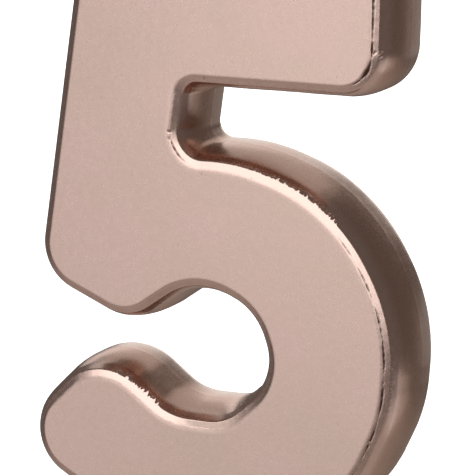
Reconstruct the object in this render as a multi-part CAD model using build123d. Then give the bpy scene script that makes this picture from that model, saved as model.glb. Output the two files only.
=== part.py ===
from build123d import *
import math
import os

# Number candle "5" on a plastic cake pick. Millimetres, +Z up, the numeral's flat front faces -Y.
# The origin is the centre of the underside of the pick's collar, where it rests on the cake.

# Numeral: its outline is drawn from the inner corner of the notch under the flag, clockwise,
# as (x, z, corner radius). Straight runs join the corners, and every corner is a tangent arc.
NUMERAL_OUTLINE = [
    (-13.6, 15.4, 5.3),    # flag, top left
    (24.45, 15.4, 4.0),    # flag, top right
    (23.95, 0.1, 5.2),     # flag, bottom right
    (0.0, 0.0, 1.6),       # notch, inner corner under the flag
    (-1.3, -8.3, 2.6),     # notch, where the stem meets the bowl
    (6.1, -7.9, 23.8),     # bowl, outside top
    (18.5, -11.75, 20.0),
    (26.1, -25.0, 20.9),   # bowl, outside right
    (25.1, -36.3, 18.5),
    (21.1, -44.9, 16.2),
    (12.7, -51.6, 17.1),
    (-1.4, -53.7, 22.8),   # bowl, outside bottom
    (-14.0, -49.9, 12.4),
    (-24.6, -44.0, 6.0),   # hook, rounded end
    (-15.7, -35.3, 5.7),   # hook, top
    (-10.5, -32.9, 7.4),
    (-2.7, -38.65, 7.0),   # bowl, inside bottom
    (4.2, -38.6, 5.5),
    (10.7, -33.0, 6.3),    # bowl, inside right
    (8.2, -25.5, 6.7),
    (0.9, -22.4, 7.9),     # bowl, inside top
    (-8.0, -28.6, 6.0),    # foot of the stem
    (-20.0, -23.6, 5.8),   # stem, bottom left
]
NUMERAL_THICKNESS = 9.0
BEVEL_INSET = 1.2         # the front face ends this far inside the outline
BEVEL_END_INSET = 0.4     # the bevel around the front face ends in a crease at this inset,
BEVEL_DEPTH = 0.3         # and at this depth behind the face
SHOULDER_DEPTH = 1.3      # the shoulder behind the bevel meets the wall at this depth,
SHOULDER_OUTSET = 0.08    # this far outside the outline
PARTING_DEPTH = 6.2       # depth of the mould's parting line behind the front face
PARTING_FLARE = 0.75      # how far the wall has drafted outwards at the parting line
BACK_BEVEL = 0.3
COAT_THICKNESS = 0.15

# Pick
COLLAR_DIAMETER = 7.6
COLLAR_THICKNESS = 1.2
SPIKE_DIAMETER = 4.0
SPIKE_STRAIGHT = 22.0
SPIKE_TIP = 8.0
SPIKE_POINT_RADIUS = 0.4
PEG_DIAMETER = 3.0
PEG_LENGTH = 10.0
PEG_CHAMFER = 0.6
GROOVE_COUNT = 3
GROOVE_DEPTH = 0.2
GROOVE_WIDTH = 0.8
GROOVE_PITCH = 2.4
PEG_CLEARANCE = 0.05      # radial, between the peg and its socket
SOCKET_SPARE = 0.6        # socket depth beyond the end of the peg
SEAT_DIAMETER = 7.8       # flat spot on the numeral's underside that takes the collar
NUMERAL_UNDERSIDE = 0.4   # height of the numeral's lowest point

# Wick
WICK_DIAMETER = 1.6
WICK_HEIGHT = 9.0         # above the top of the numeral
WICK_DEPTH = 22.0         # below the top of the numeral
WICK_FROM_NOTCH = -7.0    # over the middle of the stem
SEAL_RADIUS = 2.3
SEAL_HEIGHT = 0.7

# Places worked out from the sizes above
PICK_FROM_NOTCH = 2.4     # the pick stands under the middle of the numeral's width
NOTCH_X = -PICK_FROM_NOTCH
WICK_X = NOTCH_X + WICK_FROM_NOTCH
FRONT_Y = -NUMERAL_THICKNESS / 2
BACK_Y = NUMERAL_THICKNESS / 2
PARTING_Y = FRONT_Y + PARTING_DEPTH


def corner(before, vertex, after, radius):
    """Start, middle and end of one tangent arc, each with its outward normal, as (point, normal)."""
    into = (vertex - before).normalized()
    out = (after - vertex).normalized()
    normal_in = Vector(-into.Z, 0, into.X)
    normal_out = Vector(-out.Z, 0, out.X)
    normal_mid = (normal_in + normal_out).normalized()
    half_turn = math.acos(max(-1.0, min(1.0, into.dot(out)))) / 2
    reach = radius * math.tan(half_turn)
    start = vertex - into * reach
    end = vertex + out * reach
    convex = out.dot(normal_in) < 0
    side = 1 if convex else -1
    centre = start - normal_in * (side * radius)
    middle = centre + normal_mid * (side * radius)
    return [(start, normal_in), (middle, normal_mid), (end, normal_out)]


def outline_corners():
    """All the corners of the numeral, about the notch's inner corner."""
    points = [Vector(x, 0, z) for x, z, radius in NUMERAL_OUTLINE]
    corners = []
    for i, (x, z, radius) in enumerate(NUMERAL_OUTLINE):
        after = points[(i + 1) % len(points)]
        corners.append(corner(points[i - 1], points[i], after, radius))
    return corners


CORNERS = outline_corners()


def lowest_point():
    """Lowest height of the outline about the notch's inner corner."""
    return min(point.Z for arc in CORNERS for point, normal in arc)


NOTCH_Z = NUMERAL_UNDERSIDE + PARTING_FLARE - lowest_point()
TOP_Z = NOTCH_Z + NUMERAL_OUTLINE[0][1] + PARTING_FLARE


def section(grow, y):
    """The numeral's outline grown outwards by grow, as a wire in the plane at y."""
    base = Vector(NOTCH_X, y, NOTCH_Z)
    arcs = [[base + point + normal * grow for point, normal in arc] for arc in CORNERS]
    edges = []
    for i, arc in enumerate(arcs):
        edges.append(Edge.make_line(arcs[i - 1][2], arc[0]))
        edges.append(Edge.make_three_point_arc(*arc))
    return Wire(edges)


def offset_profile(profile, skin):
    """A (y, grow) profile taken in by skin, square to each of its runs. Its two ends are flat faces."""
    ends = [(profile[0][0], profile[0][1] - 1), *profile, (profile[-1][0], profile[-1][1] - 1)]
    points = [Vector(y, grow, 0) for y, grow in ends]
    result = []
    for before, point, after in zip(points, points[1:], points[2:]):
        into = (point - before).normalized()
        out = (after - point).normalized()
        inward = Vector(into.Y, -into.X, 0) + Vector(out.Y, -out.X, 0)
        moved = point + inward * (skin / (1 + into.dot(out)))
        result.append((moved.X, moved.Y))
    return result


def numeral(skin):
    """The numeral's solid, taken in by skin on every side."""
    profile = [
        (FRONT_Y, -BEVEL_INSET),
        (FRONT_Y + BEVEL_DEPTH, -BEVEL_END_INSET),
        (FRONT_Y + SHOULDER_DEPTH, SHOULDER_OUTSET),
        (PARTING_Y, PARTING_FLARE),
        (BACK_Y - BACK_BEVEL, PARTING_FLARE),
        (BACK_Y, PARTING_FLARE - BACK_BEVEL),
    ]
    sections = [section(grow, y) for y, grow in offset_profile(profile, skin)]
    return Solid.make_loft(sections, ruled=True)


def rod(diameter, bottom, top, x=0):
    """A round bar from one height to another."""
    height = top - bottom
    return Pos(x, 0, bottom + height / 2) * Cylinder(diameter / 2, height)


def make_wax_body(core):
    """The moulded wax, with the wick's bore and the pick's seat and socket."""
    bore_bottom = TOP_Z - WICK_DEPTH
    wick_bore = rod(WICK_DIAMETER, bore_bottom, TOP_Z + 1, WICK_X)
    seat = rod(SEAT_DIAMETER, -1, COLLAR_THICKNESS)
    socket_top = COLLAR_THICKNESS + PEG_LENGTH + SOCKET_SPARE
    socket = rod(PEG_DIAMETER + 2 * PEG_CLEARANCE, 0, socket_top)
    return core - wick_bore - seat - socket


def make_metallic_coat(core):
    """The lacquer all over the wax, open only at the wick and at the pick's seat."""
    wick_hole = rod(WICK_DIAMETER, TOP_Z - 2, TOP_Z + 1, WICK_X)
    seat = rod(SEAT_DIAMETER, -1, COLLAR_THICKNESS)
    return numeral(0) - core - wick_hole - seat


def make_wick():
    """The wick, from the bottom of its bore to its free end."""
    return rod(WICK_DIAMETER, TOP_Z - WICK_DEPTH, TOP_Z + WICK_HEIGHT, WICK_X)


def make_wick_seal():
    """A drop of wax that has set around the wick, where it leaves the numeral's top."""
    sphere_radius = (SEAL_RADIUS ** 2 + SEAL_HEIGHT ** 2) / (2 * SEAL_HEIGHT)
    ball = Pos(WICK_X, 0, TOP_Z + SEAL_HEIGHT - sphere_radius) * Sphere(sphere_radius)
    drop = ball & rod(2 * SEAL_RADIUS, TOP_Z - 1, TOP_Z + 2, WICK_X)
    return drop - numeral(0) - rod(WICK_DIAMETER, TOP_Z - 2, TOP_Z + 2, WICK_X)


def make_cake_pick():
    """One moulding, turned about its axis: peg with grip grooves, collar, spike and point."""
    peg = PEG_DIAMETER / 2
    spike = SPIKE_DIAMETER / 2
    collar = COLLAR_DIAMETER / 2
    peg_top = COLLAR_THICKNESS + PEG_LENGTH
    half = [
        (0, -SPIKE_STRAIGHT - SPIKE_TIP),
        (SPIKE_POINT_RADIUS, -SPIKE_STRAIGHT - SPIKE_TIP),
        (spike, -SPIKE_STRAIGHT),
        (spike, 0),
        (collar, 0),
        (collar, COLLAR_THICKNESS),
        (peg, COLLAR_THICKNESS),
        (peg, peg_top - PEG_CHAMFER),
        (peg - PEG_CHAMFER, peg_top),
        (0, peg_top),
    ]
    profile = make_face(Polyline([(x, 0, z) for x, z in half], close=True))
    pick = revolve(profile, Axis.Z)
    for i in range(GROOVE_COUNT):
        middle = COLLAR_THICKNESS + GROOVE_PITCH * (i + 1)
        ring = rod(PEG_DIAMETER + 2, middle - GROOVE_WIDTH / 2, middle + GROOVE_WIDTH / 2)
        core = rod(PEG_DIAMETER - 2 * GROOVE_DEPTH, middle - GROOVE_WIDTH, middle + GROOVE_WIDTH)
        pick = pick - (ring - core)
    return pick


def main():
    os.makedirs("parts", exist_ok=True)
    core = numeral(COAT_THICKNESS)
    parts = {
        "wax_body": make_wax_body(core),
        "metallic_coat": make_metallic_coat(core),
        "wick": make_wick(),
        "wick_seal": make_wick_seal(),
        "cake_pick": make_cake_pick(),
    }
    for node, solid in parts.items():
        export_step(solid, f"parts/{node}.step")
    print(f"notch corner at x {NOTCH_X:.2f}, z {NOTCH_Z:.2f}; top of the numeral at z {TOP_Z:.2f}")


main()
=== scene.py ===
"""Number candle "5": metallic lacquered wax numeral with a braided wick, on a plastic cake pick.

Lengths are in metres. The numeral's own drawing is in millimetres, about the inner corner of the
notch under its flag, and is turned into metres by place().
"""
import math
import random

import bmesh
import bpy
from mathutils import Matrix, Vector, noise
from mathutils.geometry import delaunay_2d_cdt
from mathutils.kdtree import KDTree


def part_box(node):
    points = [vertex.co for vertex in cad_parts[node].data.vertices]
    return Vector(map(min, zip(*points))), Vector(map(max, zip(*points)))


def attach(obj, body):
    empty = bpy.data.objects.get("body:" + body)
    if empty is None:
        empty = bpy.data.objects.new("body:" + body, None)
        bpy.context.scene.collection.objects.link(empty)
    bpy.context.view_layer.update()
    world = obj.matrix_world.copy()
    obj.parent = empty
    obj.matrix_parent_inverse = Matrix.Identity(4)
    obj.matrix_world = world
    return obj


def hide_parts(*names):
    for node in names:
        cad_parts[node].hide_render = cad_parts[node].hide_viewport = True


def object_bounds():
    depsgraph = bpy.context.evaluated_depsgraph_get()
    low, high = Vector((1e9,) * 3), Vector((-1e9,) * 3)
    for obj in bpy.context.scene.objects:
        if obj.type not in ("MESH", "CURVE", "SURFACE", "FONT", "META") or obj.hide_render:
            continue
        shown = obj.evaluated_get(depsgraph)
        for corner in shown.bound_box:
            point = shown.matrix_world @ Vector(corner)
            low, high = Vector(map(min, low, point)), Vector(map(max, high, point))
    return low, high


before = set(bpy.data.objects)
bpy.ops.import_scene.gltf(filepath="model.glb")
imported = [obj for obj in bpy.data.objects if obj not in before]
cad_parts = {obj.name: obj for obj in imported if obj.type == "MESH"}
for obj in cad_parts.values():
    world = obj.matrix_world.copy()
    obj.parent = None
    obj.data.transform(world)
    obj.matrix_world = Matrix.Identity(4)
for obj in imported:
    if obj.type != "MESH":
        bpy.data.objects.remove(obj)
cad_low, cad_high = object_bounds()

MM = 0.001

# ---------------------------------------------------------------------------------------------
# The numeral's drawing, as in the CAD part: (x, z, corner radius) in mm, clockwise
# ---------------------------------------------------------------------------------------------
NUMERAL_OUTLINE = [
    (-13.6, 15.4, 5.3),    # 0 flag, top left
    (24.45, 15.4, 4.0),    # 1 flag, top right
    (23.95, 0.1, 5.2),     # 2 flag, bottom right
    (0.0, 0.0, 1.6),       # 3 notch, inner corner under the flag
    (-1.3, -8.3, 2.6),     # 4 notch, where the stem meets the bowl
    (6.1, -7.9, 23.8),     # 5 bowl, outside top
    (18.5, -11.75, 20.0),  # 6
    (26.1, -25.0, 20.9),   # 7 bowl, outside right
    (25.1, -36.3, 18.5),   # 8
    (21.1, -44.9, 16.2),   # 9
    (12.7, -51.6, 17.1),   # 10
    (-1.4, -53.7, 22.8),   # 11 bowl, outside bottom
    (-14.0, -49.9, 12.4),  # 12
    (-24.6, -44.0, 6.0),   # 13 hook, rounded end
    (-15.7, -35.3, 5.7),   # 14 hook, top
    (-10.5, -32.9, 7.4),   # 15
    (-2.7, -38.65, 7.0),   # 16 bowl, inside bottom
    (4.2, -38.6, 5.5),     # 17
    (10.7, -33.0, 6.3),    # 18 bowl, inside right
    (8.2, -25.5, 6.7),     # 19
    (0.9, -22.4, 7.9),     # 20 bowl, inside top
    (-8.0, -28.6, 6.0),    # 21 foot of the stem
    (-20.0, -23.6, 5.8),   # 22 stem, bottom left
]
OUTLINE_STEP = 0.10        # spacing of points along the outline
PARTING_FLARE = 0.75       # how far the wall stands out at the parting line

# Section of the coat, as (depth behind the front face, growth outwards from the outline) in mm.
FRONT_SECTION = [
    # face and its softly rolled rim
    (0.000, -1.920), (0.000, -1.850), (0.002, -1.750), (0.007, -1.650), (0.015, -1.550),
    (0.027, -1.450), (0.037, -1.380), (0.049, -1.310), (0.058, -1.260),
    # crack line
    (0.064, -1.230), (0.071, -1.200), (0.078, -1.170), (0.085, -1.140), (0.093, -1.110),
    (0.101, -1.080),
    # bevel
    (0.132, -0.980), (0.165, -0.870), (0.198, -0.760), (0.231, -0.650), (0.256, -0.570),
    (0.275, -0.505),
    # crease and shoulder
    (0.305, -0.440), (0.355, -0.390), (0.430, -0.345), (0.510, -0.300), (0.600, -0.255),
    (0.700, -0.205), (0.800, -0.155), (0.920, -0.100), (1.050, -0.040), (1.200, 0.030),
]
WALL_SECTION = [
    # drafted wall
    (1.36, 0.09), (1.65, 0.17), (2.1, 0.28), (2.7, 0.41), (3.3, 0.52), (3.9, 0.605),
    (4.5, 0.67), (5.1, 0.715), (5.7, 0.74), (6.06, 0.75),
    # mould parting line
    (6.15, 0.756), (6.25, 0.756),
    # back of the wall and its crisp back edge
    (6.4, 0.75), (7.0, 0.755), (7.6, 0.755), (8.2, 0.75), (8.58, 0.74), (8.80, 0.70),
    (8.94, 0.61), (9.0, 0.47), (9.0, -0.1),
]
# Inside of the coat, 0.14 mm in, where it lies on the wax.
INNER_SECTION = [
    (0.14, -1.25), (0.40, -0.50), (1.34, -0.06), (6.2, 0.61), (8.64, 0.61), (8.86, 0.39),
]
RIM_END = -1.05                 # growth at which the rim meets the bevel
RIM_TIGHT = 0.50                # share of its width that the rim has where it faces left or down
LEFT_DIP = 0.07                 # mm that the bevel is steeper where it faces left
CRACK_GROWTH = -1.16            # the middle of the crack line between rim and bevel
CREASE_GROWTH = -0.45           # the crease, where the bevel ends
CREASE_BAND = (-0.75, -0.16)    # growths between which burrs stand at the crease
SHOULDER_DEPTHS = (0.3, 1.2)    # mm behind the front face at which the shoulder starts and ends
BURR_SLOPE = 0.30               # how far burrs lean back for each mm outwards
FLECK_LENGTH = 0.38             # mm
CRACK_DEEPEST = 0.065           # mm, so that the coat stays whole under the crack line
CRACK_SHADE_FULL = 0.05               # mm of opening at which the crack line's painted shade is fully dark

# Where the coat has cracked between rim and bevel, as (x, z, reach, opening in mm). The crack line is
# darkened with painted shade.
CRACKS = [
    (20.6, -16.4, 2.6, 0.03), (23.0, -20.0, 3.0, 0.04), (24.9, -24.6, 3.0, 0.05),
    (25.4, -28.5, 3.4, 0.07), (25.0, -33.5, 3.8, 0.08), (23.6, -39.0, 4.2, 0.08),
    (20.0, -45.0, 5.0, 0.07), (-0.9, -7.2, 2.2, 0.06), (24.2, 10.5, 7.5, 0.06),
    (24.0, 5.5, 2.0, 0.06), (23.2, 2.4, 2.6, 0.13), (21.8, 0.9, 1.6, 0.09),
]
# Where burrs of wax and lacquer stand out of the crease, as (x, z, reach, length in mm).
BURRS = [
    (-9.0, -34.0, 1.6, 0.30), (-7.6, -35.0, 1.8, 0.48), (-5.9, -36.2, 1.8, 0.52),
    (-4.4, -37.3, 1.4, 0.40), (6.8, -7.9, 1.8, 0.10), (9.8, -8.6, 2.0, 0.12),
    (13.2, -9.9, 2.0, 0.14), (15.9, -11.5, 1.8, 0.18), (18.2, -13.6, 1.5, 0.28),
    (23.9, 5.2, 0.9, 0.35), (-1.2, -8.0, 1.0, 0.12), (25.6, -30.0, 8.0, 0.05),
]
# Where lone flecks of lacquer stand out of the crease, as (x, z, reach, strength).
FLECKS = [
    (-7.6, -35.0, 2.4, 0.7), (-5.0, -37.0, 2.2, 0.6), (8.5, -8.2, 2.5, 0.4),
    (12.0, -9.4, 2.6, 0.8), (14.8, -10.8, 2.4, 1.0), (17.4, -13.0, 2.2, 0.8),
    (23.6, 5.0, 1.0, 0.8),
]
# Where the bevel is steeper than elsewhere, as (x, z, reach, extra depth at the crease in mm).
STEEPER = [(-0.5, -3.5, 5.5, 0.085)]
# Where it is flatter, in the same form.
FLATTER = [(3.0, -38.3, 6.5, 0.15)]
# Short dents across the rim, darkened with painted shade like the crack line, as (x, z, length, width,
# depth in mm, slope in degrees).
NICKS = [
    (-2.3, -5.45, 0.9, 0.12, 0.07, -10.0), (-2.2, -6.35, 0.5, 0.11, 0.07, 12.0),
    (23.2, 5.2, 0.5, 0.10, 0.07, 60.0), (23.5, -27.0, 0.4, 0.12, 0.06, 5.0),
    (2.4, 0.9, 0.5, 0.09, 0.05, 90.0), (8.4, -24.3, 0.5, 0.09, 0.05, 20.0),
    (10.4, -27.0, 0.5, 0.09, 0.05, -20.0),
]

front_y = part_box("metallic_coat")[0].y
coat_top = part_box("metallic_coat")[1].z
coat_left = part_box("metallic_coat")[0].x


def arc_points(before, vertex, after, radius, step):
    """Points of one tangent arc with their outward normals, in the drawing plane."""
    into = (vertex - before).normalized()
    out = (after - vertex).normalized()
    normal_in = Vector((-into.y, into.x))
    normal_out = Vector((-out.y, out.x))
    turn = math.acos(max(-1.0, min(1.0, into.dot(out))))
    side = 1 if out.dot(normal_in) < 0 else -1
    start = vertex - into * radius * math.tan(turn / 2)
    centre = start - normal_in * side * radius
    count = max(2, math.ceil(turn * radius / step))
    points = []
    for i in range(count + 1):
        mix = i / count
        first = math.sin((1 - mix) * turn) / math.sin(turn)
        last = math.sin(mix * turn) / math.sin(turn)
        normal = (normal_in * first + normal_out * last).normalized()
        points.append((centre + normal * side * radius, normal))
    return points


def outline_points(corners, step):
    """The closed outline as evenly spaced (point, outward normal, nearest corner number)."""
    flat = [Vector((x, z)) for x, z, radius in corners]
    rough = []
    for i, (x, z, radius) in enumerate(corners):
        after = flat[(i + 1) % len(flat)]
        rough += [(p, n, i) for p, n in arc_points(flat[i - 1], flat[i], after, radius, step)]
    spread = []
    for a, b in zip(rough, rough[1:] + rough[:1]):
        gap = (b[0] - a[0]).length
        count = max(1, round(gap / step))
        for k in range(count):
            mix = k / count
            normal = (a[1] * (1 - mix) + b[1] * mix).normalized()
            spread.append((a[0].lerp(b[0], mix), normal, a[2]))
    return spread


OUTLINE = outline_points(NUMERAL_OUTLINE, OUTLINE_STEP)
grown = [point + normal * PARTING_FLARE for point, normal, corner in OUTLINE]
NOTCH_X = coat_left / MM - min(p.x for p in grown)
NOTCH_Z = coat_top / MM - max(p.y for p in grown)


def place(x, depth, z):
    """A point of the drawing, depth mm behind the front face, in metres in the CAD's frame."""
    return Vector(((x + NOTCH_X) * MM, front_y + depth * MM, (z + NOTCH_Z) * MM))


# Places of the CAD pieces that the coat and the small parts meet, in metres.
wick_low, wick_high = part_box("wick")
seal_low, seal_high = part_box("wick_seal")
pick_low, pick_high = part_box("cake_pick")
WICK_X = (wick_low.x + wick_high.x) / 2
WICK_RADIUS = (wick_high.x - wick_low.x) / 2
TOP_Z = coat_top
COLLAR_RADIUS = (pick_high.x - pick_low.x) / 2
SEAT_RADIUS = COLLAR_RADIUS + 0.1 * MM
SEAT_TOP = 1.2 * MM        # the collar's top, where the wax rests on it


# ---------------------------------------------------------------------------------------------
# Camera
# ---------------------------------------------------------------------------------------------
CAMERA_AZIMUTH = math.radians(27.114)
CAMERA_ELEVATION = math.radians(13.366)
CAMERA_ROLL = math.radians(-0.59)
CAMERA_DISTANCE = 0.33658
CAMERA_TARGET = place(6.433, 0, -16.896)
CAMERA_LENS = 227.4


def make_camera():
    data = bpy.data.cameras.new("camera")
    camera = bpy.data.objects.new("camera", data)
    bpy.context.scene.collection.objects.link(camera)
    data.lens = CAMERA_LENS
    data.sensor_width = 36.0
    data.clip_start = 0.01
    data.clip_end = 50.0
    back = Vector((
        math.sin(CAMERA_AZIMUTH) * math.cos(CAMERA_ELEVATION),
        -math.cos(CAMERA_AZIMUTH) * math.cos(CAMERA_ELEVATION),
        math.sin(CAMERA_ELEVATION),
    ))
    level = Vector((math.cos(CAMERA_AZIMUTH), math.sin(CAMERA_AZIMUTH), 0))
    upright = back.cross(level)
    right = level * math.cos(CAMERA_ROLL) + upright * math.sin(CAMERA_ROLL)
    up = back.cross(right)
    turn = Matrix((right, up, back)).transposed().to_4x4()
    camera.matrix_world = Matrix.Translation(CAMERA_TARGET + back * CAMERA_DISTANCE) @ turn
    bpy.context.scene.camera = camera


make_camera()


# ---------------------------------------------------------------------------------------------
# Small helpers
# ---------------------------------------------------------------------------------------------
def new_object(name, mesh, smooth=True):
    piece = bpy.data.objects.new(name, mesh)
    bpy.context.scene.collection.objects.link(piece)
    for polygon in mesh.polygons:
        polygon.use_smooth = smooth
    return piece


class Nodes:
    """A short way to write a node tree."""

    def __init__(self, tree):
        self.tree = tree
        tree.nodes.clear()

    def add(self, kind, **settings):
        node = self.tree.nodes.new(kind)
        for key, value in settings.items():
            setattr(node, key, value)
        return node

    def link(self, source, target):
        self.tree.links.new(source, target)

    def noise(self, vector, scale, detail=2.0, roughness=0.5):
        node = self.add("ShaderNodeTexNoise")
        node.inputs["Scale"].default_value = scale
        node.inputs["Detail"].default_value = detail
        node.inputs["Roughness"].default_value = roughness
        self.link(vector, node.inputs["Vector"])
        return node.outputs["Fac"]

    def ramp(self, factor, stops):
        node = self.add("ShaderNodeValToRGB")
        elements = node.color_ramp.elements
        elements[0].position, elements[0].color = stops[0][0], (*stops[0][1], 1)
        elements[1].position, elements[1].color = stops[-1][0], (*stops[-1][1], 1)
        for position, colour in stops[1:-1]:
            elements.new(position).color = (*colour, 1)
        self.link(factor, node.inputs["Fac"])
        return node.outputs["Color"]

    def span(self, factor, low, high, to_low, to_high):
        node = self.add("ShaderNodeMapRange")
        node.inputs["From Min"].default_value = low
        node.inputs["From Max"].default_value = high
        node.inputs["To Min"].default_value = to_low
        node.inputs["To Max"].default_value = to_high
        self.link(factor, node.inputs["Value"])
        return node.outputs["Result"]

    def mix(self, factor, first, second, blend="MIX"):
        node = self.add("ShaderNodeMix", data_type="RGBA", blend_type=blend)
        if isinstance(factor, float):
            node.inputs[0].default_value = factor
        else:
            self.link(factor, node.inputs[0])
        for socket, value in ((node.inputs[6], first), (node.inputs[7], second)):
            if isinstance(value, tuple):
                socket.default_value = (*value, 1)
            else:
                self.link(value, socket)
        return node.outputs[2]

    def bump(self, height, strength, distance, below=None):
        node = self.add("ShaderNodeBump")
        node.inputs["Strength"].default_value = strength
        node.inputs["Distance"].default_value = distance
        self.link(height, node.inputs["Height"])
        if below is not None:
            self.link(below, node.inputs["Normal"])
        return node.outputs["Normal"]


def new_material(name):
    material = bpy.data.materials.new(name)
    material.use_nodes = True
    nodes = Nodes(material.node_tree)
    shader = nodes.add("ShaderNodeBsdfPrincipled")
    output = nodes.add("ShaderNodeOutputMaterial")
    nodes.link(shader.outputs["BSDF"], output.inputs["Surface"])
    coordinates = nodes.add("ShaderNodeTexCoord").outputs["Object"]
    return material, nodes, shader, coordinates


# ---------------------------------------------------------------------------------------------
# Materials
# ---------------------------------------------------------------------------------------------
# The lacquer's linear colours.
FACE_TINTS = ((0.85, 0.640, 0.555), (0.89, 0.650, 0.585))
# Painted shade: the walls darker and browner than the face.
WALL_SHADE_TINT = (0.72, 0.485, 0.390)
BACK_PALE_TINT = (0.94, 0.86, 0.79)     # paler and greyer towards the back
SPECK_TINT = (0.35, 0.25, 0.21)
# Painted shade in the crack line and the nicks.
CRACK_SHADE_TINT = (0.15, 0.080, 0.062)
# Depths in mm behind the front face between which the lacquer changes.
WALL_SHADE_DEPTHS = (0.90, 2.40)
BACK_PALE_DEPTHS = (6.0, 9.3)
BACK_DEPTHS = (8.80, 8.98)
BACK_PALE_DRIFT = 3.0                   # how far the start of the paler back wanders, in mm
BACK_PALE_MOST = 0.68                   # share of the pale grey tint in the colour where it is strongest
BACK_METAL = 0.55                  # how metallic the flat back still is


def by_depth(nodes, y, depths, start, end):
    """A value that changes between two depths in mm behind the front face."""
    return nodes.span(y, front_y + depths[0] * MM, front_y + depths[1] * MM, start, end)


def back_pale_share(nodes, coordinates, y):
    """How much the pale grey tint shows towards the back, from a wandering start."""
    drift = nodes.noise(coordinates, 260.0, 2.0)
    wander = nodes.add("ShaderNodeMath", operation="MULTIPLY_ADD")
    nodes.link(drift, wander.inputs[0])
    wander.inputs[1].default_value = BACK_PALE_DRIFT * MM
    nodes.link(y, wander.inputs[2])
    depths = [depth + BACK_PALE_DRIFT / 2 for depth in BACK_PALE_DEPTHS]
    return by_depth(nodes, wander.outputs[0], depths, 0.0, BACK_PALE_MOST)


def lacquer_material():
    """Satin rose-gold lacquer, darker and browner along the walls with painted shade, paler and
    greyer towards the back, and less metallic on the flat back. Its crack lines and nicks are
    darkened with painted shade. It has a fine sparkle, faint blotches and a few specks."""
    material, nodes, shader, coordinates = new_material("metallic_lacquer")
    split = nodes.add("ShaderNodeSeparateXYZ")
    nodes.link(coordinates, split.inputs["Vector"])
    y = split.outputs["Y"]
    blotch = nodes.noise(coordinates, 90.0, 2.0)
    colour = nodes.ramp(blotch, [(0.35, FACE_TINTS[0]), (0.65, FACE_TINTS[1])])
    # Painted shade: darker and browner along the walls than on the face.
    wall_shade = by_depth(nodes, y, WALL_SHADE_DEPTHS, 0.0, 1.0)
    colour = nodes.mix(wall_shade, colour, WALL_SHADE_TINT)
    colour = nodes.mix(back_pale_share(nodes, coordinates, y), colour, BACK_PALE_TINT)
    grain = nodes.noise(coordinates, 1500.0, 2.0, 0.5)
    shade = nodes.span(grain, 0.3, 0.7, 0.97, 1.02)
    colour = nodes.mix(nodes.span(wall_shade, 0.0, 1.0, 1.0, 0.4), colour, shade, "MULTIPLY")
    speck = nodes.noise(coordinates, 1300.0, 1.0)
    colour = nodes.mix(nodes.span(speck, 0.76, 0.82, 0.0, 0.30), colour, SPECK_TINT)
    # Painted shade: the crack line and the nicks darkened by how open they are.
    crack = nodes.add("ShaderNodeAttribute", attribute_name="crack").outputs["Fac"]
    colour = nodes.mix(crack, colour, CRACK_SHADE_TINT)
    nodes.link(colour, shader.inputs["Base Color"])
    nodes.link(by_depth(nodes, y, BACK_DEPTHS, 1.0, BACK_METAL), shader.inputs["Metallic"])
    nodes.link(nodes.span(grain, 0.3, 0.7, 0.25, 0.28), shader.inputs["Roughness"])
    peel = nodes.noise(coordinates, 900.0, 2.0)
    normal = nodes.bump(peel, 0.17, 0.00004)
    normal = nodes.bump(grain, 0.10, 0.00001, normal)
    nodes.link(normal, shader.inputs["Normal"])
    return material


def wax_material():
    material, nodes, shader, coordinates = new_material("wax")
    cloud = nodes.noise(coordinates, 260.0, 3.0)
    colour = nodes.ramp(cloud, [(0.3, (0.83, 0.76, 0.66)), (0.7, (0.88, 0.83, 0.75))])
    nodes.link(colour, shader.inputs["Base Color"])
    shader.inputs["Subsurface Weight"].default_value = 0.4
    shader.inputs["Subsurface Radius"].default_value = (0.003, 0.002, 0.0012)
    rough = nodes.span(cloud, 0.3, 0.7, 0.42, 0.55)
    nodes.link(rough, shader.inputs["Roughness"])
    nodes.link(nodes.bump(cloud, 0.2, 0.0001), shader.inputs["Normal"])
    return material


def cotton_material():
    material, nodes, shader, coordinates = new_material("wick_cotton")
    fibre = nodes.noise(coordinates, 5200.0, 4.0, 0.65)
    colour = nodes.ramp(fibre, [(0.3, (0.72, 0.66, 0.55)), (0.7, (0.90, 0.87, 0.80))])
    nodes.link(colour, shader.inputs["Base Color"])
    shader.inputs["Roughness"].default_value = 0.75
    shader.inputs["Sheen Weight"].default_value = 0.25
    nodes.link(nodes.bump(fibre, 0.5, 0.00004), shader.inputs["Normal"])
    return material


def plastic_material():
    material, nodes, shader, coordinates = new_material("pick_plastic")
    flow = nodes.noise(coordinates, 420.0, 3.0)
    colour = nodes.ramp(flow, [(0.3, (0.80, 0.80, 0.78)), (0.7, (0.86, 0.86, 0.84))])
    nodes.link(colour, shader.inputs["Base Color"])
    shader.inputs["Subsurface Weight"].default_value = 0.15
    shader.inputs["Subsurface Radius"].default_value = (0.002, 0.002, 0.002)
    rough = nodes.span(flow, 0.3, 0.7, 0.36, 0.48)
    nodes.link(rough, shader.inputs["Roughness"])
    fine = nodes.noise(coordinates, 2400.0, 2.0)
    nodes.link(nodes.bump(fine, 0.15, 0.00003), shader.inputs["Normal"])
    return material


LACQUER = lacquer_material()
WAX = wax_material()
COTTON = cotton_material()
PLASTIC = plastic_material()


# ---------------------------------------------------------------------------------------------
# Metallic coat
# ---------------------------------------------------------------------------------------------
def section_normals(section):
    """Unit outward normals of a section, as (depth, growth)."""
    normals = []
    for i in range(len(section)):
        before = section[max(i - 1, 0)]
        after = section[min(i + 1, len(section) - 1)]
        run = Vector((after[0] - before[0], after[1] - before[1])).normalized()
        normals.append(Vector((-run.y, run.x)))
    return normals


def falloff(distance, reach):
    """1 at the middle of a spot, easing to 0 at its reach."""
    t = max(0.0, 1.0 - distance / reach)
    return t * t * (3 - 2 * t)


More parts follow.
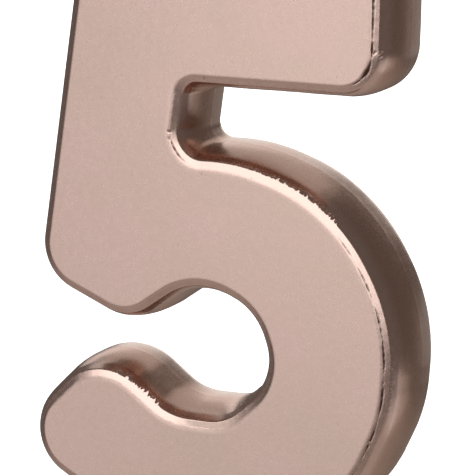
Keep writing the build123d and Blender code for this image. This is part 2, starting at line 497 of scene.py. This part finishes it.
def strength_at(point, spots):
    """The strongest of some (x, z, reach, value) spots at a point of the outline."""
    found = 0.0
    for x, z, reach, value in spots:
        distance = math.hypot(point.x - x, point.y - z)
        if distance < reach:
            found = max(found, value * falloff(distance, reach))
    return found


def wobble(x, depth, z, size):
    """Smooth noise from -1 to 1 with features of the given size in mm."""
    return noise.noise(Vector((x / size + 3.1, depth / size + 7.3, z / size)))


def relief(x, depth, z, grow):
    """How far the coat's own unevenness stands out of its section at a point, in mm."""
    height = 0.0
    if depth > 0.3:
        body = min(1.0, (depth - 0.3) / 1.5)
        height += body * (0.035 * wobble(x, depth * 0.5, z, 5.0) + 0.010 * wobble(x, depth, z, 1.1))
    if depth < 0.45 and grow > -1.3:
        height += 0.005 * wobble(x, depth, z, 0.8)
    return height


def crack_at(x, z, grow, strength):
    """How open the crack line is at a point, in mm. It is wider and less broken where it is deep."""
    away = abs(grow - CRACK_GROWTH)
    reach = 0.04 + 1.6 * strength
    if strength == 0.0 or away >= reach:
        return 0.0
    broken = 0.45 + 6 * strength + 0.8 * wobble(x, 0.0, z, 0.42) + 0.4 * wobble(x, 2.0, z, 1.9)
    return strength * max(0.0, min(1.0, broken)) * min(1.0, 1.8 * (1 - away / reach))


def crease_share(grow):
    """0 outside the band around the crease, rising to 1 in its middle."""
    start, end = CREASE_BAND
    if not start < grow < end:
        return 0.0
    return math.sin(math.pi * (grow - start) / (end - start))


def burr_at(x, z, grow, length):
    """How far a burr carries the crease outwards at a point, in mm."""
    share = crease_share(grow)
    if length == 0.0 or share == 0.0:
        return 0.0
    tooth = 1.5 * wobble(x, 0.0, z, 0.38) + 2.2 * wobble(x, 5.0, z, 0.17)
    return length * share * max(-0.10, min(1.0, tooth))


def fleck_at(x, z, grow, strength):
    """How far a lone fleck of lacquer stands out over the shoulder at a point, in mm."""
    share = crease_share(grow)
    if strength == 0.0 or share == 0.0:
        return 0.0
    return FLECK_LENGTH * strength * share * max(0.0, min(1.0, 4.5 * wobble(x, 9.0, z, 0.18) - 0.9))


def bevel_dip(point, normal):
    """How much deeper than elsewhere the crease lies at a point of the outline, in mm."""
    deeper = max(strength_at(point, STEEPER), LEFT_DIP * max(0.0, -normal.x))
    return deeper - strength_at(point, FLATTER)


def bevel_share(depth, grow):
    """0 at the crack line, 1 at the crease and 0 again where the shoulder meets the wall."""
    if grow < CREASE_GROWTH:
        return max(0.0, (grow - CRACK_GROWTH) / (CREASE_GROWTH - CRACK_GROWTH))
    start, end = SHOULDER_DEPTHS
    return max(0.0, 1.0 - (depth - start) / (end - start))


def nick_depth(x, z, grow):
    """Depth of the short dents across the rim, at a point of the rim or bevel."""
    deepest = 0.0
    if not -1.5 < grow < -0.45:
        return deepest
    for nick_x, nick_z, length, width, depth, slope in NICKS:
        dx, dz = x - nick_x, z - nick_z
        turn = math.radians(slope)
        along = abs(dx * math.cos(turn) + dz * math.sin(turn)) / (length / 2)
        across = abs(dz * math.cos(turn) - dx * math.sin(turn)) / width
        if along < 1 and across < 1:
            deepest = max(deepest, depth * (1 - along ** 4) * (1 - across))
    return deepest


def rim_growth(grow, normal):
    """Growth of a point of the section: the rolled rim is tighter where it faces left or down."""
    if grow >= RIM_END:
        return grow
    away = max(0.0, min(1.0, 0.5 - 1.5 * (normal.x + normal.y)))
    share = 1 - (1 - RIM_TIGHT) * away * away * (3 - 2 * away)
    return RIM_END + (grow - RIM_END) * share


def ring_line(grow):
    """The outline grown by grow, in mm, as (x, z) points."""
    line = []
    for point, normal, corner in OUTLINE:
        reach = rim_growth(grow, normal)
        line.append((point.x + normal.x * reach, point.y + normal.y * reach))
    return line


def face_grid(line, step):
    """Points of a regular grid that lie inside a closed line, clear of the line itself."""
    near = {(math.floor(x / step), math.floor(z / step)) for x, z in line}
    row = math.floor(min(z for x, z in line) / step)
    last_row = math.ceil(max(z for x, z in line) / step)
    inside = []
    while row <= last_row:
        z = (row + 0.5) * step
        crossings = []
        for (x0, z0), (x1, z1) in zip(line, line[1:] + line[:1]):
            if (z0 > z) != (z1 > z):
                crossings.append(x0 + (z - z0) * (x1 - x0) / (z1 - z0))
        crossings.sort()
        for left, right in zip(crossings[::2], crossings[1::2]):
            for column in range(math.ceil(left / step), math.floor(right / step)):
                if (column, row) not in near:
                    inside.append(((column + 0.5) * step, z))
        row += 1
    return inside


def fill_face(bm, ring, line, depth, step, flip):
    """Close one end of the skin with a triangulated face."""
    inner = face_grid(line, step)
    points = [Vector(p) for p in line + inner]
    loop = [list(range(len(line)))]
    result = delaunay_2d_cdt(points, [], loop, 1, 1e-6)
    verts = list(ring)
    for x, z in result[0][len(line):]:
        verts.append(bm.verts.new(place(x, depth, z)))
    for face in result[2]:
        a, b, c = (verts[k] for k in face)
        bm.faces.new((a, c, b) if flip else (a, b, c))


def add_skin(bm, section, front_fill, back_fill, rough):
    """One closed skin: rings along a section, with a filled face in front and behind.

    Returns how open the crack line is at each vertex that it runs through."""
    cracks = [strength_at(point, CRACKS) for point, normal, corner in OUTLINE]
    burrs = [strength_at(point, BURRS) for point, normal, corner in OUTLINE]
    flecks = [strength_at(point, FLECKS) for point, normal, corner in OUTLINE]
    dips = [bevel_dip(point, normal) for point, normal, corner in OUTLINE]
    opened = []
    rings = []
    for (depth, grow), facing in zip(section, section_normals(section)):
        verts = []
        uneven = rough and 0.0 < depth < 8.95
        for i, (x, z) in enumerate(ring_line(grow)):
            height = 0.0
            burr = 0.0
            crack = 0.0
            if uneven:
                crack = crack_at(x, z, grow, cracks[i]) + nick_depth(x, z, grow)
                height = relief(x, depth, z, grow) - min(crack, CRACK_DEEPEST)
                burr = burr_at(x, z, grow, burrs[i]) + fleck_at(x, z, grow, flecks[i])
            out = OUTLINE[i][1] * (height * facing.y + burr)
            sunk = depth + height * facing.x + burr * BURR_SLOPE
            if uneven:
                sunk += dips[i] * bevel_share(depth, grow)
            spot = place(x + out.x, sunk, z + out.y)
            verts.append(bm.verts.new(spot))
            if crack > 0.0:
                opened.append((spot, crack))
        rings.append(verts)
    for first, second in zip(rings, rings[1:]):
        for i in range(len(first)):
            j = (i + 1) % len(first)
            bm.faces.new((first[i], first[j], second[j], second[i]))
    fill_face(bm, rings[0], ring_line(section[0][1]), section[0][0], front_fill, False)
    fill_face(bm, rings[-1], ring_line(section[-1][1]), section[-1][0], back_fill, True)
    return opened


def skin_mesh(name, section, front_fill, back_fill, rough):
    bm = bmesh.new()
    opened = add_skin(bm, section, front_fill, back_fill, rough)
    bmesh.ops.recalc_face_normals(bm, faces=bm.faces)
    mesh = bpy.data.meshes.new(name)
    bm.to_mesh(mesh)
    bm.free()
    return mesh, opened


def mark_crack_shade(mesh, opened):
    """Store on each vertex how open the crack line is there, for the painted shade that darkens it in
    the lacquer's colour.
    """
    tree = KDTree(len(opened))
    for i, (spot, crack) in enumerate(opened):
        tree.insert(spot, i)
    tree.balance()
    layer = mesh.attributes.new("crack", "FLOAT", "POINT")
    for vertex in mesh.vertices:
        spot, i, distance = tree.find(vertex.co)
        if distance < 0.001 * MM:
            layer.data[vertex.index].value = min(1.0, opened[i][1] / CRACK_SHADE_FULL)


def round_cutter(name, centre_x, radius, bottom, top):
    """A round bar that cuts the coat, in metres."""
    bm = bmesh.new()
    bmesh.ops.create_cone(
        bm, cap_ends=True, segments=96, radius1=radius, radius2=radius, depth=top - bottom,
        matrix=Matrix.Translation((centre_x, 0, (top + bottom) / 2)),
    )
    mesh = bpy.data.meshes.new(name)
    bm.to_mesh(mesh)
    bm.free()
    return new_object(name, mesh)


def cut(piece, cutters):
    """Take the cutters out of a piece and remove them."""
    for cutter in cutters:
        modifier = piece.modifiers.new(cutter.name, "BOOLEAN")
        modifier.operation = "DIFFERENCE"
        modifier.solver = "MANIFOLD"
        modifier.object = cutter
    solid = piece.evaluated_get(bpy.context.evaluated_depsgraph_get())
    mesh = bpy.data.meshes.new_from_object(solid)
    piece.modifiers.clear()
    piece.data = mesh
    for cutter in cutters:
        bpy.data.objects.remove(cutter)


def make_coat():
    outer, opened = skin_mesh("coat", FRONT_SECTION + WALL_SECTION, 0.5, 1.0, True)
    inner, untouched = skin_mesh("inside", INNER_SECTION, 2.0, 2.0, False)
    coat = new_object("metallic_coat_skin", outer)
    inside = new_object("coat_inside", inner)
    seat = round_cutter("seat", 0.0, SEAT_RADIUS, cad_low.z, SEAT_TOP)
    wick_hole = round_cutter("wick_hole", WICK_X, WICK_RADIUS, TOP_Z - 0.003, TOP_Z + 0.002)
    cut(coat, [inside, seat, wick_hole])
    mark_crack_shade(coat.data, opened)
    coat.data.materials.clear()
    coat.data.materials.append(LACQUER)
    coat.data.set_sharp_from_angle(angle=math.radians(55))
    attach(coat, "candle")
    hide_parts("metallic_coat")


make_coat()

# ---------------------------------------------------------------------------------------------
# Wax body, as it comes from the CAD
# ---------------------------------------------------------------------------------------------
wax_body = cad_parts["wax_body"]
wax_body.data.materials.clear()
wax_body.data.materials.append(WAX)


# ---------------------------------------------------------------------------------------------
# Wick
# ---------------------------------------------------------------------------------------------
STRAND_COUNT = 3
STRAND_RADIUS = 0.37       # mm
STRAND_SIDES = 18
PLAIT_HALF_WIDTH = 0.41    # how far each strand swings across, in mm
PLAIT_HALF_DEPTH = 0.22    # and from front to back
PLAIT_PITCH = 4.4          # length of one whole swing, in mm
YARN_PITCH = 1.5           # length of one turn of the yarns within a strand, in mm
YARN_RELIEF = 0.045        # mm
PLAIT_STEP = 0.12          # mm
FRAY_LENGTH = 0.55         # mm of loose fibres at the cut end
FIBRE_COUNT = 26
FIBRE_RADIUS = 0.028       # mm
FIBRE_STEPS = 6


def add_tube(bm, path, radius_at, sides):
    """A closed tube along a path in mm. radius_at(i, angle) is its radius at path point i."""
    rings = []
    for i, point in enumerate(path):
        ahead = path[min(i + 1, len(path) - 1)] - path[max(i - 1, 0)]
        ahead.normalize()
        side = ahead.cross(Vector((0, 1, 0))).normalized()
        up = side.cross(ahead)
        ring = []
        for k in range(sides):
            angle = 2 * math.pi * k / sides
            reach = radius_at(i, angle)
            spot = point + side * (reach * math.cos(angle)) + up * (reach * math.sin(angle))
            ring.append(bm.verts.new(spot * MM))
        rings.append(ring)
    for first, second in zip(rings, rings[1:]):
        for k in range(sides):
            j = (k + 1) % sides
            bm.faces.new((first[k], first[j], second[j], second[k]))
    bm.faces.new(rings[0])
    bm.faces.new(rings[-1])


def strand_path(phase, bottom, top):
    count = round((top - bottom) / PLAIT_STEP)
    path = []
    for i in range(count + 1):
        z = bottom + (top - bottom) * i / count
        turn = 2 * math.pi * z / PLAIT_PITCH + phase
        x = WICK_X / MM + PLAIT_HALF_WIDTH * math.sin(turn)
        path.append(Vector((x, PLAIT_HALF_DEPTH * math.sin(2 * turn), z)))
    return path


def strand_radius(path):
    """Three yarns twisted together, rounded off at the cut end."""
    last = len(path) - 1

    def radius_at(i, angle):
        yarns = math.cos(3 * angle + 2 * math.pi * path[i].z / YARN_PITCH)
        end = min(1.0, 0.45 + 0.18 * (last - i))
        return end * (STRAND_RADIUS + YARN_RELIEF * yarns)

    return radius_at


def add_fibres(bm, top):
    """Loose fibres that spread a little from the cut end."""
    draw = random.Random(5)
    for i in range(FIBRE_COUNT):
        angle = draw.uniform(0, 2 * math.pi)
        reach = 0.55 * math.sqrt(draw.random())
        lean = draw.uniform(0.05, 0.4)
        x = WICK_X / MM + reach * math.cos(angle)
        start = Vector((x, 0.6 * reach * math.sin(angle), top - 0.6))
        length = FRAY_LENGTH * draw.uniform(0.6, 1.0) + 0.6
        path = []
        for k in range(FIBRE_STEPS + 1):
            t = k / FIBRE_STEPS
            away = lean * t * t * 0.5
            path.append(start + Vector((away * math.cos(angle), away * math.sin(angle), length * t)))
        add_tube(bm, path, lambda k, turn: FIBRE_RADIUS * (1.15 - 0.11 * k), 6)


def make_wick():
    bm = bmesh.new()
    bottom = wick_low.z / MM
    top = wick_high.z / MM - FRAY_LENGTH
    for i in range(STRAND_COUNT):
        path = strand_path(2 * math.pi * i / STRAND_COUNT, bottom, top)
        add_tube(bm, path, strand_radius(path), STRAND_SIDES)
    add_fibres(bm, top)
    bmesh.ops.recalc_face_normals(bm, faces=bm.faces)
    mesh = bpy.data.meshes.new("wick_plait")
    bm.to_mesh(mesh)
    bm.free()
    wick = new_object("wick_plait", mesh)
    mesh.materials.append(COTTON)
    mesh.set_sharp_from_angle(angle=math.radians(60))
    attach(wick, "candle")
    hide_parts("wick")


make_wick()


# ---------------------------------------------------------------------------------------------
# Drop of wax around the wick's root
# ---------------------------------------------------------------------------------------------
DROP_RADIUS = (seal_high.x - seal_low.x) / 2 / MM
DROP_EDGE = 0.16           # thickness that the drop's rounded edge rises to, in mm
DROP_CLIMB = 0.60          # how much further it climbs at the wick, in mm
DROP_SPREAD = 0.55         # distance over which that climb dies away, in mm
DROP_SUNK = 0.06           # how far its underside sits in the coat, in mm
DROP_SECTORS = 72
DROP_STEPS = 22


def top_growth(depth):
    """Height of the numeral's top at a depth, against its height at the parting line, in mm."""
    section = FRONT_SECTION + WALL_SECTION
    for (d0, g0), (d1, g1) in zip(section, section[1:]):
        if d0 <= depth <= d1 and d1 > d0:
            return g0 + (g1 - g0) * (depth - d0) / (d1 - d0) - PARTING_FLARE
    return 0.0


def drop_height(radius, angle):
    """Thickness of the drop at a share of its radius."""
    lumps = 0.04 * wobble(2.0 * math.cos(angle), 1.0, 2.0 * math.sin(angle), 1.3)
    edge = DROP_EDGE * math.sqrt(max(0.0, 1 - radius ** 8))
    out = max(0.0, radius * DROP_RADIUS - WICK_RADIUS / MM * 0.8)
    return edge + (DROP_CLIMB + lumps) * math.exp(-out / DROP_SPREAD) * (1 - radius ** 4)


def make_drop():
    bm = bmesh.new()
    sectors = DROP_SECTORS
    middle_depth = -front_y / MM
    tops = []
    undersides = []
    for i in range(1, DROP_STEPS + 1):
        share = math.sin(i / DROP_STEPS * math.pi / 2)
        upper = []
        lower = []
        for k in range(sectors):
            angle = 2 * math.pi * k / sectors
            wave = 1 - 0.05 + 0.05 * wobble(math.cos(angle), 4.0, math.sin(angle), 0.8)
            reach = share * DROP_RADIUS * wave
            x = WICK_X / MM + reach * math.cos(angle)
            y = reach * math.sin(angle)
            base = TOP_Z / MM + top_growth(middle_depth + y) - DROP_SUNK
            upper.append(bm.verts.new(Vector((x, y, base + DROP_SUNK + drop_height(share, angle))) * MM))
            lower.append(bm.verts.new(Vector((x, y, base)) * MM))
        tops.append(upper)
        undersides.append(lower)
    for rings in (tops, undersides):
        for first, second in zip(rings, rings[1:]):
            for k in range(sectors):
                j = (k + 1) % sectors
                bm.faces.new((first[k], first[j], second[j], second[k]))
        bm.faces.new(rings[0])
    for k in range(sectors):
        j = (k + 1) % sectors
        bm.faces.new((tops[-1][k], tops[-1][j], undersides[-1][j], undersides[-1][k]))
    bmesh.ops.recalc_face_normals(bm, faces=bm.faces)
    mesh = bpy.data.meshes.new("wick_drop")
    bm.to_mesh(mesh)
    bm.free()
    drop = new_object("wick_drop", mesh)
    mesh.materials.append(WAX)
    mesh.set_sharp_from_angle(angle=math.radians(60))
    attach(drop, "candle")
    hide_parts("wick_seal")


make_drop()


# ---------------------------------------------------------------------------------------------
# Cake pick
# ---------------------------------------------------------------------------------------------
# The pick's profile, as (radius, height, corner radius) in mm, from its point to the peg's top.
PICK_PROFILE = [
    (0.0, -30.0, 0.0),
    (0.4, -30.0, 0.3),
    (2.0, -22.0, 6.0),
    (2.0, 0.0, 0.25),
    (3.8, 0.0, 0.25),
    (3.8, 1.2, 0.25),
    (1.5, 1.2, 0.12),
    (1.5, 3.2, 0.10),
    (1.3, 3.3, 0.10),
    (1.3, 3.9, 0.10),
    (1.5, 4.0, 0.10),
    (1.5, 5.6, 0.10),
    (1.3, 5.7, 0.10),
    (1.3, 6.3, 0.10),
    (1.5, 6.4, 0.10),
    (1.5, 8.0, 0.10),
    (1.3, 8.1, 0.10),
    (1.3, 8.7, 0.10),
    (1.5, 8.8, 0.10),
    (1.5, 10.6, 0.20),
    (0.9, 11.2, 0.15),
    (0.0, 11.2, 0.0),
]
PARTING_RIDGE = 0.03       # height of the mould line along both sides of the pick, in mm
RIDGE_ANGLES = (-3.0, -1.4, 0.0, 1.4, 3.0)
PICK_SEGMENTS = 72


def rounded_profile(corners):
    """A profile's points, with an arc at each corner that has a radius."""
    flat = [Vector((x, z)) for x, z, radius in corners]
    points = [flat[0]]
    for i in range(1, len(corners) - 1):
        radius = corners[i][2]
        points += [p for p, n in arc_points(flat[i - 1], flat[i], flat[i + 1], radius, 0.06)]
    return points + [flat[-1]]


def make_pick():
    step = 360 / PICK_SEGMENTS
    angles = {round(k * step, 3) for k in range(PICK_SEGMENTS)}
    for side in (0, 180):
        angles |= {round((side + a) % 360, 3) for a in RIDGE_ANGLES}
    angles = sorted(angles)
    bm = bmesh.new()
    rings = []
    profile = rounded_profile(PICK_PROFILE)
    for point in profile[1:-1]:
        ring = []
        for degrees in angles:
            off = min(degrees % 180, 180 - degrees % 180)
            ridge = PARTING_RIDGE * max(0.0, 1 - off / RIDGE_ANGLES[-1]) if point.x > 1.55 else 0.0
            turn = math.radians(degrees)
            reach = point.x + ridge
            spot = Vector((reach * math.cos(turn), reach * math.sin(turn), point.y))
            ring.append(bm.verts.new(spot * MM))
        rings.append(ring)
    for first, second in zip(rings, rings[1:]):
        for k in range(len(angles)):
            j = (k + 1) % len(angles)
            bm.faces.new((first[k], first[j], second[j], second[k]))
    bm.faces.new(rings[0])
    bm.faces.new(rings[-1])
    bmesh.ops.recalc_face_normals(bm, faces=bm.faces)
    mesh = bpy.data.meshes.new("cake_pick_moulding")
    bm.to_mesh(mesh)
    bm.free()
    pick = new_object("cake_pick_moulding", mesh)
    mesh.materials.append(PLASTIC)
    mesh.set_sharp_from_angle(angle=math.radians(50))
    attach(pick, "pick")
    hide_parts("cake_pick")


make_pick()


# ---------------------------------------------------------------------------------------------
# Studio
# ---------------------------------------------------------------------------------------------
SWEEP_RADIUS = 2.0         # of the white backdrop around the numeral, in metres
SWEEP_CURVE = 0.8
SWEEP_HEIGHT = 3.0
SWEEP_RINGS = (0.3, 0.7)   # radii of the floor's inner rings
SWEEP_STEPS = 12
SWEEP_SECTORS = 96
SWEEP_GAP = 0.0002         # between the pick's point and the floor
SWEEP_GLOW = 0.93
LIGHT_DISTANCE = 1.2
WORLD_BELOW = 0.36         # radiance of the surroundings well below the numeral
WORLD_ABOVE = 0.115
WORLD_CHANGE = (-0.75, -0.35)      # heights on the unit sphere between which it changes
WORLD_TINT = (1.0, 0.87, 0.79, 1)

# Soft boxes as (name, azimuth, elevation, width, height, radiance): azimuth 0 is in front of the
# numeral and 90 to its right, in degrees, and the box's own size is in metres.
SOFT_BOXES = [
    ("key", -12, 17, 1.40, 0.75, 1.40),
    ("key_low", 3, -3, 0.55, 0.22, 1.45),
    ("fill", -17, -7, 0.50, 0.40, 0.40),
    ("face_card", -36, -17, 0.95, 0.70, 0.455),
    ("back", -165, 14, 1.50, 0.60, 0.86),
    ("top_back", -150, 52, 1.50, 1.10, 0.40),
    ("right_back", 160, -9, 0.50, 0.45, 0.165),
    ("low_right", 125, -30, 0.60, 0.50, 0.38),
]
# Washes in the same form. They light the wax, the wick, the pick and the coat's flat back, and stay
# out of the lacquer's reflections.
WASHES = [
    ("wash_front", 20, 45, 1.60, 1.20, 2.20),
    ("wash_back", 200, 35, 1.60, 1.20, 1.80),
]


def make_backdrop():
    """A white studio sweep: a round floor that curves up into a wall all around."""
    low = cad_low.z - SWEEP_GAP
    profile = [(radius, low) for radius in SWEEP_RINGS]
    for i in range(SWEEP_STEPS + 1):
        turn = math.pi / 2 * i / SWEEP_STEPS
        out = SWEEP_RADIUS - SWEEP_CURVE + SWEEP_CURVE * math.sin(turn)
        profile.append((out, low + SWEEP_CURVE * (1 - math.cos(turn))))
    profile.append((SWEEP_RADIUS, low + SWEEP_HEIGHT))
    bm = bmesh.new()
    centre = bm.verts.new((0, 0, low))
    sectors = SWEEP_SECTORS
    rings = []
    for radius, z in profile:
        ring = []
        for k in range(sectors):
            turn = 2 * math.pi * k / sectors
            ring.append(bm.verts.new((radius * math.cos(turn), radius * math.sin(turn), z)))
        rings.append(ring)
    for k in range(sectors):
        j = (k + 1) % sectors
        bm.faces.new((centre, rings[0][k], rings[0][j]))
        for first, second in zip(rings, rings[1:]):
            bm.faces.new((first[k], second[k], second[j], first[j]))
    mesh = bpy.data.meshes.new("backdrop")
    bm.to_mesh(mesh)
    bm.free()
    backdrop = new_object("backdrop", mesh)
    material = bpy.data.materials.new("backdrop")
    material.use_nodes = True
    shader = material.node_tree.nodes["Principled BSDF"]
    shader.inputs["Base Color"].default_value = (0.6, 0.6, 0.6, 1)
    shader.inputs["Roughness"].default_value = 0.9
    shader.inputs["Specular IOR Level"].default_value = 0.0
    shader.inputs["Emission Color"].default_value = (1, 1, 1, 1)
    shader.inputs["Emission Strength"].default_value = SWEEP_GLOW
    mesh.materials.append(material)
    backdrop.visible_glossy = False
    backdrop.visible_diffuse = False
    backdrop.visible_shadow = False


def direction(azimuth, elevation):
    a = math.radians(azimuth)
    e = math.radians(elevation)
    return Vector((math.sin(a) * math.cos(e), -math.cos(a) * math.cos(e), math.sin(e)))


def soft_box(name, azimuth, elevation, width, height, radiance):
    """An oval light aimed at the numeral, of even radiance whatever its size."""
    data = bpy.data.lights.new(name, "AREA")
    data.shape = "ELLIPSE"
    data.size = width
    data.size_y = height
    data.energy = radiance * math.pi * math.pi * width * height / 4
    light = bpy.data.objects.new(name, data)
    bpy.context.scene.collection.objects.link(light)
    aim = direction(azimuth, elevation)
    light.location = (cad_low + cad_high) / 2 + aim * LIGHT_DISTANCE
    light.rotation_mode = "QUATERNION"
    light.rotation_quaternion = aim.to_track_quat("Z", "Y")
    light.visible_camera = False
    return light


def make_world():
    """Dim, warm studio surroundings, lighter below from the white sweep."""
    world = bpy.data.worlds.new("studio")
    world.use_nodes = True
    nodes = Nodes(world.node_tree)
    background = nodes.add("ShaderNodeBackground")
    output = nodes.add("ShaderNodeOutputWorld")
    nodes.link(background.outputs["Background"], output.inputs["Surface"])
    split = nodes.add("ShaderNodeSeparateXYZ")
    nodes.link(nodes.add("ShaderNodeTexCoord").outputs["Generated"], split.inputs["Vector"])
    glow = nodes.span(split.outputs["Z"], *WORLD_CHANGE, WORLD_BELOW, WORLD_ABOVE)
    nodes.link(glow, background.inputs["Strength"])
    background.inputs["Color"].default_value = WORLD_TINT
    bpy.context.scene.world = world


make_backdrop()
make_world()
for box in SOFT_BOXES:
    soft_box(*box)
for wash in WASHES:
    soft_box(*wash).visible_glossy = False
bpy.context.scene.view_settings.view_transform = "Standard"
